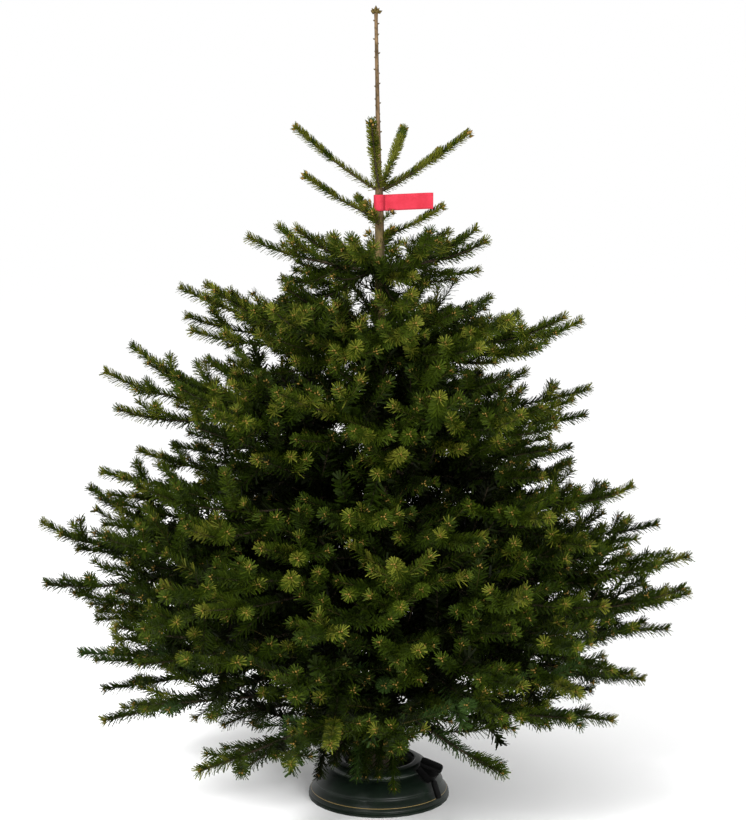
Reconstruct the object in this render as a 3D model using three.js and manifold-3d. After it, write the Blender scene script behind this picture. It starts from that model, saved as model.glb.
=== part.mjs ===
// A cut fir tree in a round clamping stand.
// Millimetres, +Z up, origin at the middle of the stand's flat underside.
// A bearing is an angle round the trunk, in degrees from +X towards +Y.

import * as THREE from 'three';
import { mergeVertices } from 'three/addons/utils/BufferGeometryUtils.js';
import Module from 'manifold-3d';

const wasm = await Module();
wasm.setup();

// ---- driving dimensions ----------------------------------------------------

const GAP = 0.3; // left between neighbouring pieces
const SOFT_GAP = 1.0; // left round masses of needles, measured out from their ribs

// Stand: outline of the shell from its rim up to its mouth, as radius and height.
const STAND_RADIUS = 180;
const STAND_SIDES = 30;
const BASE_THICKNESS = 5;
const SHELL_THICKNESS = 3;
const SHELL_OUTLINE = [
  [180, 12], [174, 20], [171, 25], [165, 41], [152, 57],
  [138, 68], [124, 76], [121, 87], [111, 93], [95, 95],
];
const BOWL_MOUTH = 91;
const BOWL_FOOT = 62;
const BOWL_TOP = 92;
const BOWL_THICKNESS = 3;
const BOWL_WAIST = 85; // radius where its wall begins to flare
const BOWL_WAIST_HEIGHT = 60;
const CLAW_COUNT = 3;
const CLAW_WIDTH = 16;
const CLAW_THICKNESS = 8;
const CLAW_DEPTH = 16; // at its root on the bowl's wall
const CLAW_TOP = 88;
const CLAW_TIP = 62;
const CLAW_PAD = [-12, 4]; // foot and top of the pad on the trunk, from the tip's height
const CLAW_CREST = 22; // how far in from the wall its back stays level
const CLAW_PLAY = 0.4; // left between pad and trunk, beyond the usual gap
const CLAW_FIRST = 45; // bearing

// Lever: each block's length, width, height and corner, then the radius and height
// where it sits, its slope and its own turn in degrees.
const LEVER_BEARING = -37;
const HOUSING = { block: [46, 40, 22, 9], radius: 146, height: 78, slope: 38, turn: 0 };
const PEDAL = { block: [58, 34, 9, 12], radius: 163, height: 103, slope: 24, turn: 28 };
const LATCH = { block: [46, 16, 7, 6], radius: 176, height: 46, slope: 68, turn: 0 };

// Trunk: height of the cut butt, of the first shoots and of the tip, and radii on the way up.
const BUTT_HEIGHT = 10;
const TREE_HEIGHT = 1985;
const TRUNK_SIDES = 9;
const TRUNK_RADII = [
  [BUTT_HEIGHT, 31], [70, 29], [200, 27], [500, 23.5], [970, 17], [1300, 13], [1475, 11], [1540, 9.5],
  [1560, 8.5], [1750, 6], [1950, 5], [1966, 6], [1974, 12], [1980, 12.5], [TREE_HEIGHT, 7],
];
const TRUNK_BOW = [[BUTT_HEIGHT, 0], [700, 3], [1400, 2], [1540, 0], [TREE_HEIGHT, -8]];

// Crown of boughs. Each whorl: height where its boughs leave the trunk, height of
// their tips, how much higher these stand on the -X side (tilt), how far they reach,
// how much further on the -X side (lopsided), and the bearing of the first bough.
// Lift and dip shape the bough: how far it rises from its foot and sags before its tip.
const BOUGHS_PER_WHORL = 3;
const WHORLS = [
  {
    name: 'third', origin: 1165, tip: 1225, tilt: 35, reach: 498, lopsided: 0.02,
    first: 121, lift: 0.2, dip: 0.03,
  },
  {
    name: 'fourth', origin: 1005, tip: 1040, tilt: 30, reach: 578, lopsided: 0.12,
    first: 184, lift: 0.14, dip: 0.05,
  },
  {
    name: 'fifth', origin: 850, tip: 785, tilt: 15, reach: 652, lopsided: 0.07,
    first: 117, lift: 0.12, dip: 0.06,
  },
  {
    name: 'sixth', origin: 695, tip: 678, tilt: 12, reach: 762, lopsided: 0.09,
    first: 180, lift: 0.1, dip: 0.07,
  },
  {
    name: 'seventh', origin: 530, tip: 510, tilt: -10, reach: 775, lopsided: 0,
    first: 122, lift: 0.06, dip: 0.08,
  },
  {
    name: 'eighth', origin: 360, tip: 305, tilt: -18, reach: 712, lopsided: 0.05,
    first: 151, lift: 0.02, dip: 0.05,
  },
];
const BEARING_WANDER = 6; // degrees that a bough stands off its even place
const BOUGH_SIDES = 6;
const BOUGH_STEPS = 2;
const BOUGH_RADIUS = 0.42; // of the trunk's radius where it leaves
const BOUGH_BARE = 0.22; // of its length, to where the needles begin
const BOUGH_BURIED = 0.08; // of its length, inside the mass
const BOUGH_TAPER = 0.4; // of its radius, lost on the way to the mass
const BOUGH_RISE_PART = 0.36; // of its reach, to where it stops rising
const BOUGH_SAG_PART = 0.74; // of its reach, to where its tip turns up

// Fingers of one bough's mass: angle off the bough, reach as a part of the bough's,
// where it leaves the bough, and how far its tip stands above the bough's own.
const FINGERS = [
  { turn: 0, reach: 1, leaves: 0.16, rise: 0.02, girth: 1.25 },
  { turn: 19, reach: 0.94, leaves: 0.36, rise: -0.08, girth: 0.85 },
  { turn: -19, reach: 0.96, leaves: 0.36, rise: 0.08, girth: 0.85 },
  { turn: 37, reach: 0.94, leaves: 0.26, rise: 0.06, girth: 0.95 },
  { turn: -37, reach: 0.95, leaves: 0.26, rise: -0.09, girth: 0.95 },
  { turn: 54, reach: 0.96, leaves: 0.18, rise: -0.05, girth: 0.85 },
  { turn: -54, reach: 0.97, leaves: 0.18, rise: 0.05, girth: 0.85 },
];
const FINGER_SIDES = 4;
const FINGER_RINGS = 3;
const FINGER_HALF_WIDTH = 0.135; // of the bough's reach
const FINGER_HALF_DEPTH = 0.068; // of the bough's reach, on top of what any bough has
const FINGER_LEAST_DEPTH = 44;
const FINGER_SWELL = 1.1; // above 1, brings the thickest part nearer the tip
const FINGER_ARCH = 0.02; // of the bough's reach, that a side finger bows up
const UNEVEN = 0.18; // how much a finger's ribs vary
const REACH_WANDER = 0.05; // how much the fingers' reach, rise and turn vary
const RISE_WANDER = 0.03;
const TURN_WANDER = 3;
const SLENDER = 1.2; // above 1, draws a piece's rings back towards its foot

// The second whorl's boughs are clothed right up to the trunk.
const SECOND_WHORL = {
  origin: 1325, tip: 1398, tilt: 0, reach: 305, lopsided: 0.05, first: 186, lift: 0.22, dip: 0.0,
};
const SECOND_COUNT = 5;
const SECOND_FINGERS = [
  { turn: 0, reach: 1, leaves: 0, rise: 0.05, girth: 1.0 },
  { turn: 30, reach: 0.84, leaves: 0.12, rise: -0.22, girth: 0.9 },
  { turn: -30, reach: 0.88, leaves: 0.12, rise: 0.12, girth: 0.9 },
];
const SECOND_GIRTH = 0.95;

// Single shoots near the top: heights of foot and tip, reach and bearing.
const SHOOT_HALF_WIDTH = 19;
const SHOOT_EARLY_RISE = 0.32; // of its rise, made in the first half of its reach
const SHOOT_SIDES = 6;
const SHOOTS = [
  { name: 'top_shoot_left', foot: 1535, tip: 1688, reach: 205, bearing: 187 },
  { name: 'top_shoot_front', foot: 1538, tip: 1690, reach: 180, bearing: 264 },
  { name: 'top_shoot_right', foot: 1536, tip: 1673, reach: 220, bearing: 350 },
  { name: 'top_shoot_right_back', foot: 1534, tip: 1636, reach: 182, bearing: 33 },
  { name: 'top_shoot_back', foot: 1538, tip: 1696, reach: 192, bearing: 71 },
  { name: 'low_shoot_left', foot: 1470, tip: 1572, reach: 182, bearing: 181 },
  { name: 'low_shoot_right', foot: 1425, tip: 1496, reach: 158, bearing: 8 },
  { name: 'low_shoot_back', foot: 1455, tip: 1520, reach: 140, bearing: 112 },
];

// Tag: a band round the trunk with a flag out to +X.
const TAG_BOTTOM = 1487;
const TAG_HEIGHT = 40;
const TAG_LENGTH = 135;
const TAG_LOOP = 14;
const TAG_THICKNESS = 1.2;
const TAG_CURL = 7;
const TAG_STEPS = 8;

// ---- materials -------------------------------------------------------------

const bark = { color: 0x6b5237, roughness: 0.9, metalness: 0 };
const needles = { color: 0x27350f, roughness: 0.65, metalness: 0 };
const enamel = { color: 0x18231e, roughness: 0.35, metalness: 0.2 };
const blackPlastic = { color: 0x0a0a0b, roughness: 0.45, metalness: 0 };
const tagPaper = { color: 0xf94c6b, roughness: 0.7, metalness: 0 };

// ---- helpers ---------------------------------------------------------------

const radians = THREE.MathUtils.degToRad;

// A number from -1 to 1 that is always the same for the same three whole numbers.
function vary(a, b, c) {
  const wave = Math.sin(a * 127.1 + b * 311.7 + c * 74.7) * 43758.5453;
  return 2 * (wave - Math.floor(wave)) - 1;
}

// Value at x on a line through points [x, value].
function along(points, x) {
  const last = points.length - 1;
  const after = THREE.MathUtils.clamp(points.findIndex((point) => point[0] > x), -1, last);
  if (after === -1) return points[last][1];
  if (after === 0) return points[0][1];
  const [x0, v0] = points[after - 1];
  const [x1, v1] = points[after];
  return THREE.MathUtils.lerp(v0, v1, (x - x0) / (x1 - x0));
}

function solidOf(geometry) {
  const bare = geometry.clone();
  bare.deleteAttribute('normal');
  bare.deleteAttribute('uv');
  const merged = mergeVertices(bare, 1e-4);
  const mesh = new wasm.Mesh({
    numProp: 3,
    vertProperties: Float32Array.from(merged.attributes.position.array),
    triVerts: Uint32Array.from(merged.index.array),
  });
  return new wasm.Manifold(mesh);
}

function geometryOf(solid) {
  const mesh = solid.getMesh();
  const geometry = new THREE.BufferGeometry();
  geometry.setAttribute('position', new THREE.BufferAttribute(mesh.vertProperties, 3));
  geometry.setIndex(new THREE.BufferAttribute(mesh.triVerts, 1));
  geometry.computeVertexNormals();
  return geometry;
}

function largestOf(solid) {
  const bodies = solid.decompose();
  return bodies.reduce((best, body) => (body.volume() > best.volume() ? body : best));
}

const group = new THREE.Group();

function add(name, geometry, look) {
  const mesh = new THREE.Mesh(geometry, new THREE.MeshStandardMaterial(look));
  mesh.name = name;
  group.add(mesh);
  return mesh;
}

function outwards(bearing) {
  return new THREE.Vector3(Math.cos(radians(bearing)), Math.sin(radians(bearing)), 0);
}

// Lays a closed geometry whose axis is Y, from y = -1 to 1, along a curve. The section
// at part t of the curve is sized by halfWidth(t, vertex) sideways and halfDepth up.
function layAlong(geometry, curve, halfWidth, halfDepth, grow = 0) {
  const laid = geometry.clone();
  const position = laid.attributes.position;
  const up = new THREE.Vector3(0, 0, 1);
  for (let index = 0; index < position.count; index += 1) {
    const across = new THREE.Vector2(position.getX(index), -position.getZ(index));
    const t = THREE.MathUtils.clamp((1 - position.getY(index)) / 2, 0, 1);
    const forward = curve.getTangent(t);
    const level = Math.abs(forward.z) > 0.99 ? new THREE.Vector3(0, 1, 0) : up;
    const side = new THREE.Vector3().crossVectors(forward, level).normalize();
    const top = new THREE.Vector3().crossVectors(side, forward);
    const place = curve.getPoint(t ** SLENDER);
    if (across.length() > 1e-6) {
      across.normalize();
      const angle = Math.round(THREE.MathUtils.radToDeg(across.angle())) % 360;
      place.addScaledVector(side, across.x * (halfWidth(t, angle) + grow));
      place.addScaledVector(top, across.y * (halfDepth(t, angle) + grow));
    }
    if (t === 0) place.addScaledVector(forward, -grow);
    if (t === 1) place.addScaledVector(forward, grow);
    position.setXYZ(index, place.x, place.y, place.z);
  }
  return laid;
}

// Curve of a bough: up and out from the trunk's middle, then level, its tip turned up.
function boughCurve({ origin, tip, reach, lift, dip }, bearing) {
  const out = outwards(bearing);
  const point = (part, height) => out.clone().multiplyScalar(part * reach).setZ(height);
  return new THREE.CubicBezierCurve3(
    point(0, origin),
    point(BOUGH_RISE_PART, origin + lift * reach),
    point(BOUGH_SAG_PART, tip - dip * reach),
    point(1, tip),
  );
}

// Part of a curve, from part a to part b of it, as a curve.
function stretchOf(curve, a, b, steps = 4) {
  const points = [];
  for (let step = 0; step <= steps; step += 1) {
    points.push(curve.getPoint(THREE.MathUtils.lerp(a, b, step / steps)));
  }
  return new THREE.CatmullRomCurve3(points);
}

// ---- trunk -----------------------------------------------------------------

function trunkGeometry(grow = 0) {
  const rings = TRUNK_RADII.length;
  const trunk = new THREE.CylinderGeometry(1, 1, 2, TRUNK_SIDES, rings - 1);
  const position = trunk.attributes.position;
  for (let index = 0; index < position.count; index += 1) {
    const ring = Math.round(((position.getY(index) + 1) / 2) * (rings - 1));
    const [height, radius] = TRUNK_RADII[ring];
    const across = new THREE.Vector2(position.getX(index), -position.getZ(index));
    if (across.length() > 1e-6) across.setLength(radius + grow);
    const end = ring === 0 ? -grow : ring === rings - 1 ? grow : 0;
    position.setXYZ(index, across.x + along(TRUNK_BOW, height), across.y, height + end);
  }
  return trunk;
}

// ---- stand -----------------------------------------------------------------

// Turns an outline of [radius, height] points about Z.
function turned(outline, sides = STAND_SIDES) {
  const points = outline.map(([radius, height]) => new THREE.Vector2(radius, height));
  return new THREE.LatheGeometry([...points, points[0]], sides).rotateX(Math.PI / 2);
}

function standBase() {
  const radius = STAND_RADIUS;
  return turned([[0, 0], [radius, 0], [radius, BASE_THICKNESS], [0, BASE_THICKNESS]]);
}

function standShell() {
  const foot = BASE_THICKNESS + GAP;
  const outside = [[STAND_RADIUS, foot], ...SHELL_OUTLINE];
  const inside = SHELL_OUTLINE.filter((point, index) => index % 3 === 0 && index < 9)
    .map(([radius, height]) => [radius - SHELL_THICKNESS - 2, height - SHELL_THICKNESS])
    .reverse();
  const lip = [SHELL_OUTLINE.at(-1)[0], SHELL_OUTLINE.at(-1)[1] - SHELL_THICKNESS];
  return turned([...outside, lip, ...inside, [STAND_RADIUS - SHELL_THICKNESS, foot]]);
}

function standBowl() {
  const floor = BASE_THICKNESS + GAP;
  const inside = floor + BOWL_THICKNESS;
  return turned([
    [0, floor], [BOWL_FOOT, floor], [BOWL_WAIST, BOWL_WAIST_HEIGHT], [BOWL_MOUTH, BOWL_TOP],
    [BOWL_MOUTH - BOWL_THICKNESS, BOWL_TOP], [BOWL_WAIST - BOWL_THICKNESS, BOWL_WAIST_HEIGHT],
    [BOWL_FOOT - BOWL_THICKNESS, inside], [0, inside],
  ]);
}

// A bent claw from the bowl's wall to the trunk, in the upright plane of its bearing.
function standClaw(bearing) {
  const wall = BOWL_WAIST - BOWL_THICKNESS;
  const trunk = along(TRUNK_RADII, CLAW_TIP) + GAP + CLAW_PLAY;
  const [padFoot, padTop] = CLAW_PAD.map((offset) => CLAW_TIP + offset);
  const outline = new THREE.Shape();
  outline.moveTo(wall, CLAW_TOP);
  outline.lineTo(wall, CLAW_TOP - CLAW_DEPTH);
  outline.lineTo(trunk + CLAW_THICKNESS, padFoot + 2);
  outline.lineTo(trunk, padFoot);
  outline.lineTo(trunk, padTop);
  outline.quadraticCurveTo(wall - CLAW_CREST, CLAW_TOP, wall, CLAW_TOP);
  const plate = new THREE.ExtrudeGeometry(outline, {
    depth: CLAW_WIDTH, bevelEnabled: false, curveSegments: 4,
  });
  plate.translate(0, 0, -CLAW_WIDTH / 2);
  return plate.rotateX(Math.PI / 2).rotateZ(radians(bearing));
}

// A block with rounded corners, its long side along X.
function roundedBlock(length, width, height, corner) {
  const outline = new THREE.Shape();
  const x = length / 2;
  const y = width / 2;
  outline.moveTo(-x + corner, -y);
  outline.lineTo(x - corner, -y);
  outline.quadraticCurveTo(x, -y, x, -y + corner);
  outline.lineTo(x, y - corner);
  outline.quadraticCurveTo(x, y, x - corner, y);
  outline.lineTo(-x + corner, y);
  outline.quadraticCurveTo(-x, y, -x, y - corner);
  outline.lineTo(-x, -y + corner);
  outline.quadraticCurveTo(-x, -y, -x + corner, -y);
  return new THREE.ExtrudeGeometry(outline, { depth: height, bevelEnabled: false, curveSegments: 3 });
}

// A block of the lever in its place: tipped outwards by its slope, on the lever's bearing.
function leverBlock({ block, radius, height, slope, turn }) {
  const geometry = roundedBlock(...block);
  geometry.rotateZ(radians(turn)).rotateY(radians(slope)).translate(radius, 0, height);
  return geometry.rotateZ(radians(LEVER_BEARING));
}

// ---- foliage ---------------------------------------------------------------

// One spindle of needles along a curve, rounded at its foot and drawn out to a point.
function spindle(curve, halfWidth, halfDepth, sides, seed, grow) {
  const shape = new THREE.SphereGeometry(1, sides, FINGER_RINGS);
  const swell = (t) => Math.sin(Math.PI * t ** FINGER_SWELL);
  const rib = (t, angle) => 1 + UNEVEN * vary(seed, Math.round(t * 100), angle);
  return layAlong(
    shape,
    curve,
    (t, angle) => halfWidth * swell(t) * rib(t, angle),
    (t, angle) => halfDepth * swell(t) * rib(t, angle),
    grow,
  );
}

function reachAt(whorl, bearing) {
  return whorl.reach * (1 - whorl.lopsided * Math.cos(radians(bearing)));
}

function tipAt(whorl, bearing) {
  return whorl.tip - whorl.tilt * Math.cos(radians(bearing));
}

// The mass of one bough: a fan of spindles joined into one solid.
function fan(whorl, bearing, fingers, girth, seed, grow = 0) {
  const reach = reachAt(whorl, bearing);
  const rib = boughCurve({ ...whorl, reach, tip: tipAt(whorl, bearing) }, bearing);
  let mass = null;
  fingers.forEach((finger, index) => {
    const central = finger.turn === 0;
    const length = finger.reach * (1 + REACH_WANDER * vary(seed, index, 1));
    const rise = (finger.rise + RISE_WANDER * vary(seed, index, 2)) * reach;
    const wander = central ? 0 : TURN_WANDER * vary(seed, index, 3);
    const turn = bearing + finger.turn + wander;
    const own = reachAt(whorl, turn) * (central ? 1 : length);
    const tip = outwards(turn).multiplyScalar(own).setZ(tipAt(whorl, turn) + rise);
    const hub = rib.getPoint(finger.leaves);
    const middle = hub.clone().lerp(tip, 0.55);
    middle.z = central ? rib.getPoint(0.6).z : middle.z + FINGER_ARCH * reach;
    const curve = new THREE.QuadraticBezierCurve3(hub, middle, tip);
    const piece = solidOf(spindle(
      curve,
      FINGER_HALF_WIDTH * girth * finger.girth * reach,
      finger.girth * girth * (FINGER_LEAST_DEPTH + FINGER_HALF_DEPTH * reach),
      FINGER_SIDES,
      seed * 10 + index,
      grow,
    ));
    mass = mass === null ? piece : mass.add(piece);
  });
  return mass;
}

function shootCurve({ foot, tip, reach, bearing }) {
  const out = outwards(bearing);
  return new THREE.QuadraticBezierCurve3(
    new THREE.Vector3(0, 0, foot),
    out.clone().multiplyScalar(reach / 2).setZ(foot + (tip - foot) * SHOOT_EARLY_RISE),
    out.clone().multiplyScalar(reach).setZ(tip),
  );
}

function shoot(spec, seed, grow = 0) {
  const shape = spindle(
    shootCurve(spec), SHOOT_HALF_WIDTH, SHOOT_HALF_WIDTH, SHOOT_SIDES, seed, grow,
  );
  return solidOf(shape);
}

function boughPiece(whorl, bearing, grow = 0) {
  const reach = reachAt(whorl, bearing);
  const rib = boughCurve({ ...whorl, reach, tip: tipAt(whorl, bearing) }, bearing);
  const stretch = stretchOf(rib, 0, BOUGH_BARE + BOUGH_BURIED);
  const thick = BOUGH_RADIUS * along(TRUNK_RADII, whorl.origin);
  const radius = (t) => thick * (1 - BOUGH_TAPER * t);
  const shape = new THREE.CylinderGeometry(1, 1, 2, BOUGH_SIDES, BOUGH_STEPS);
  return solidOf(layAlong(shape, stretch, radius, radius, grow));
}

// ---- tag -------------------------------------------------------------------

function tagGeometry() {
  const half = TAG_THICKNESS / 2;
  const ring = TAG_LOOP;
  const wave = (x) => -TAG_CURL * Math.sin((Math.PI * (x - ring)) / (TAG_LENGTH - ring));
  const outline = new THREE.Shape();
  const open = Math.asin(half / ring);
  outline.absarc(0, 0, ring, open, 2 * Math.PI - open, false);
  for (let step = 1; step <= TAG_STEPS; step += 1) {
    const x = THREE.MathUtils.lerp(ring, TAG_LENGTH, step / TAG_STEPS);
    outline.lineTo(x, wave(x) - half);
  }
  for (let step = TAG_STEPS; step >= 1; step -= 1) {
    const x = THREE.MathUtils.lerp(ring, TAG_LENGTH, step / TAG_STEPS);
    outline.lineTo(x, wave(x) + half);
  }
  outline.closePath();
  const hole = new THREE.Path();
  hole.absarc(0, 0, ring - TAG_THICKNESS, 0, 2 * Math.PI, true);
  outline.holes.push(hole);
  const strip = new THREE.ExtrudeGeometry(outline, {
    depth: TAG_HEIGHT, bevelEnabled: false, curveSegments: 9,
  });
  return strip.translate(0, 0, TAG_BOTTOM);
}

// ---- assembly --------------------------------------------------------------

const trunkGrown = solidOf(trunkGeometry(GAP));
add('trunk', trunkGeometry(), bark);

add('stand_base', standBase(), enamel);
add('stand_shell', standShell(), enamel);
add('stand_bowl', standBowl(), enamel);
for (let index = 0; index < CLAW_COUNT; index += 1) {
  const bearing = CLAW_FIRST + (index * 360) / CLAW_COUNT;
  add(`stand_claw_${index + 1}`, standClaw(bearing), enamel);
}
add('lever_housing', leverBlock(HOUSING), blackPlastic);
add('foot_pedal', leverBlock(PEDAL), blackPlastic);
add('release_latch', leverBlock(LATCH), blackPlastic);

add('tag', tagGeometry(), tagPaper);

// Boughs first, because every mass is cut round the trunk and all boughs.
let clearance = trunkGrown;
const fans = [];
WHORLS.forEach((whorl, row) => {
  for (let index = 0; index < BOUGHS_PER_WHORL; index += 1) {
    const seed = 10 * (row + 1) + index;
    const wander = index === 0 ? 0 : BEARING_WANDER * vary(seed, 7, 7);
    const bearing = whorl.first + (index * 360) / BOUGHS_PER_WHORL + wander;
    const bough = boughPiece(whorl, bearing).subtract(trunkGrown);
    add(`${whorl.name}_bough_${index + 1}`, geometryOf(largestOf(bough)), bark);
    clearance = clearance.add(boughPiece(whorl, bearing, GAP));
    const build = (grow) => fan(whorl, bearing, FINGERS, 1, seed, grow);
    fans.push({ name: `${whorl.name}_mass_${index + 1}`, build });
  }
});
for (let index = 0; index < SECOND_COUNT; index += 1) {
  const seed = 90 + index;
  const bearing = SECOND_WHORL.first + (index * 360) / SECOND_COUNT;
  const build = (grow) => fan(SECOND_WHORL, bearing, SECOND_FINGERS, SECOND_GIRTH, seed, grow);
  fans.push({ name: `second_mass_${index + 1}`, build });
}
SHOOTS.forEach((spec, index) => {
  fans.push({ name: spec.name, build: (grow) => shoot(spec, 80 + index, grow) });
});

// Each mass gives way to the ones before it.
fans.forEach(({ name, build }) => {
  const mass = largestOf(build(0).subtract(clearance));
  add(name, geometryOf(mass), needles);
  clearance = clearance.add(build(SOFT_GAP));
});

export default group;
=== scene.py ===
# A cut fir in a round stand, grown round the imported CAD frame. Lengths are in metres.
from math import atan2, ceil, cos, degrees, pi, radians, sin

import bpy
import numpy as np
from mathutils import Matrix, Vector, noise


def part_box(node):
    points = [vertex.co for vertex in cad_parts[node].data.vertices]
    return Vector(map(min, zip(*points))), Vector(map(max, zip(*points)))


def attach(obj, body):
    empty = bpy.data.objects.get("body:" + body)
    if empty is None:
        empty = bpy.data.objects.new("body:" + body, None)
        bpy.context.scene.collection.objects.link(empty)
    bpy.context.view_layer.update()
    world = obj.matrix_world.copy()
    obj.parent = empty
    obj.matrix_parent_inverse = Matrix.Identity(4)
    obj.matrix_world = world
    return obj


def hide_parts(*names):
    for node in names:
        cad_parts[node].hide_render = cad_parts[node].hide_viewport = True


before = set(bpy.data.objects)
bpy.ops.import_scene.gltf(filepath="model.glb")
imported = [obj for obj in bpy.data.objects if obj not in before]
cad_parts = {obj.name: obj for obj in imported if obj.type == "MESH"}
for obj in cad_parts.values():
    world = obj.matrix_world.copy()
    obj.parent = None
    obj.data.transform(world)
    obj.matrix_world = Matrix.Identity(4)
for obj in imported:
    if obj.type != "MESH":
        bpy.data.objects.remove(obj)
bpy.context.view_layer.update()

rng = np.random.default_rng(2024)

# ---- sizes ----

# Camera: its place from the trunk, how far it looks down, and its lens on a sensor
# whose long side is the height.
CAMERA_BACK = 4.1
CAMERA_HEIGHT = 1.452
CAMERA_SIDE = -0.0149
CAMERA_DOWN = radians(6.41)
SENSOR = 36.0
LENS = 72.32
LAMPS = [  # name, place, aim, width and power
    ("key", (-2.0, -3.4, 3.6), (0, 0, 0.9), 1.6, 340),
    ("fill", (1.7, -3.7, 0.9), (0, 0, 0.55), 2.0, 170),
]
FLOOR_HALF = 60.0
FLOOR_DROP = 0.0005

# The cloudy pattern of bark, enamel, plastic and paper.
CLOUD_DETAIL = 6.0
CLOUD_ROUGH = 0.65
CLOUD_RAMP = (0.36, 0.64)  # where the dark colour ends and the light one starts
CLOUD_DEPTH = 0.001

# What each column of the table of shoots holds.
START, BEND, END = slice(0, 3), slice(3, 6), slice(6, 9)
AGE, ORDER, MASS, TERMINAL, FOOT_RADIUS, TIP_RADIUS = range(9, 15)

# Growth. A limb is a row of yearly shoots, counted back from its tip. Ranges written
# in place further down are chance alone.
YEAR = 0.12  # length of a year's shoot on a limb
LAST_YEAR = 0.6  # of a year: a rest this short joins the innermost year
SIDE_YEAR = 0.12  # the longest year's shoot on a side branch
# Length of a side branch, as a part of what its limb has beyond it.
SIDE_RATIO_BY_HEIGHT = [(0.8, 0.62), (1.1, 0.46)]
SIDE_LEAST = 0.065  # and it is no shorter and no longer than these
SIDE_MOST = 0.16
SIDE_ANGLE = radians(50)
SIDE_TILTS = (-0.25, 0.35)  # up from its limb, in radians
TWIG_RATIO = 0.75  # a twig's length, as a part of what its branch has beyond it
TWIG_CHANCE = 0.15
TWIG_TILTS = (-0.2, 0.45)
WANDER = 0.06  # of a branch from its heading, each year
ABOVE_CHANCE = 0.35  # of a branch above or below a limb at one of its outer years
ABOVE_TILTS = [-0.6, 0.75, 0.9]
ABOVE_RATIO = 0.65  # of the length of the side branches there
INNER_CHANCE = 0.2  # of a side branch at one of its inner years
FILL_CHANCE = 0.85  # of a shaded shoot above or below, at one of its inner years
FILL_TOP = 1.05  # above this none of them points up
FILL_TILT = 0.95
FILL_LENGTHS = (0.1, 0.14)
LAST_ORDER = 2
OUTER_YEARS = 3  # years back from the tip that bear full side branches
BARE_FOOT = 0.02  # of a limb bears no branches
LIMB_TIP = 0.0015
SHOOT_RADIUS = 0.0009
SHOOT_GROWTH = 0.0004  # more each year
SHOOT_TAPER = 0.0003

# Lesser limbs beside the fingers.
COMPANION_CHANCE = 3.4  # of one beside a finger, for each metre to the next whorl
COMPANION_RISE = 0.42  # how far above or below it ends, of the way to the next whorl
COMPANION_SPREAD = 17  # degrees round the finger in which it ends
COMPANION_FEET = (0.05, 0.22)  # where it starts, as a part of the bough
COMPANION_ARCH = 0.25  # of its rise
COMPANION_THICK = 0.45  # of the bough
TOP_GAP = 0.06  # stands for the way up from the highest whorl
LOWEST_RISES = [-0.03, -0.06]  # of the limbs below the lowest whorl
# How far out it ends, as a part of the finger's reach.
SHARE_BY_HEIGHT = [(0.35, 0.7), (0.45, 0.88), (0.7, 0.88), (0.95, 0.68)]
SHARE_VARIES = 0.14
LEVEL_SLACK = 0.07  # whorls closer in height than this are one

# How far the last shoot of a limb goes out of its mass, and how far above it.
OVERSHOOT_BY_HEIGHT = [(0.3, 0.03), (0.4, 0.0), (0.6, 0.0), (0.75, 0.028), (1.1, 0.028), (1.2, 0.0)]
RAISED_BY_HEIGHT = [(0.25, 0.03), (0.5, 0.0)]
# How much each shoot turns up, and how far a limb sags as a part of its reach.
LIFT_BY_HEIGHT = [(0.2, -0.02), (0.45, 0.12), (0.8, 0.2), (1.15, 0.24), (1.33, 0.36)]
SAG_BY_HEIGHT = [(0.25, 0.0), (0.45, 0.09), (0.7, 0.16), (1.3, 0.16)]

# Boughs, as parts of their reach and their sag.
BOUGH_OUT = 0.36  # the reach over which it keeps its first heading
BOUGH_IN = 0.26  # the reach over which it comes level to its tip
FIRST_SAG = 0.4
BOUGH_THICK = 0.34  # of the trunk's radius
BOUGH_SINK = 0.01  # its foot below the start of the CAD bough
BOUGH_CLOTHED = 0.06  # needles start here, from the trunk's axis
FAN_FOOT = 20  # percent of the corners of a mass without a bough are below its limbs' foot
FAN_RISE = 0.02
FAN_THICK = 0.0055
FAN_CLOTHED = 0.02
END_DEPTH = 0.012  # corners this near a node's inner or outer end make it up
# A side finger's limb leaves the bough nearer the trunk as it points further round.
HUB_FAR = 0.45
HUB_TURN = 0.005  # for each degree
HUB_NEAR = 0.12
FINGER_PULLS = (0.45, 0.55)  # of its foot and of its tip on its middle
FINGER_SAG = 0.6
FINGER_THICK = 0.55

# Single shoots near the top.
SINGLE_SINK = 0.006
SINGLE_SAG = 0.018
SINGLE_YEARS = [0.04, 0.55, 1.0]  # where their two years start and end
SINGLE_BENDS = [0.3, 0.78]
SINGLE_RADII = (0.0036, 0.0018)
SINGLE_STEPS = 8

# Short branches of the stem, sprouts round the tag and tufts before the collar.
STEM_STEP = 0.013  # from one short branch of the stem to the next
STEM_FROM = 0.24
STEM_TO = 1.29
STEM_RISE = 0.4
STEM_LENGTHS = (0.2, 0.33)
STEM_FACTOR_BY_HEIGHT = [(1.05, 1.0), (1.3, 0.6)]  # on those lengths
STEM_AGE = 3
GOLDEN_TURN = radians(137.5)
SPROUTS = [(1.468, 190), (1.44, 240), (1.45, 8), (1.402, 340), (1.395, 160)]  # height, bearing
SPROUT_RISE = 1.2
SPROUT_LENGTHS = (0.042, 0.055)
TUFT_FOOT = 0.31  # height on the trunk where they all start
TUFT_LONGEST = (0.036, -0.25, 0.1)  # where the one that hangs lowest ends
TUFTS = 18
TUFTS_FROM = (-0.15, -0.27, 0.125)  # the others end between these two places
TUFTS_TO = (0.055, -0.19, 0.185)
TUFT_MIDDLE = (0.8, 0.85)  # of the end's way to the side and forwards
TUFT_THICK = 0.004
TUFT_LIFT = -0.1
TUFT_CLOTHED = 0.1
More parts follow.
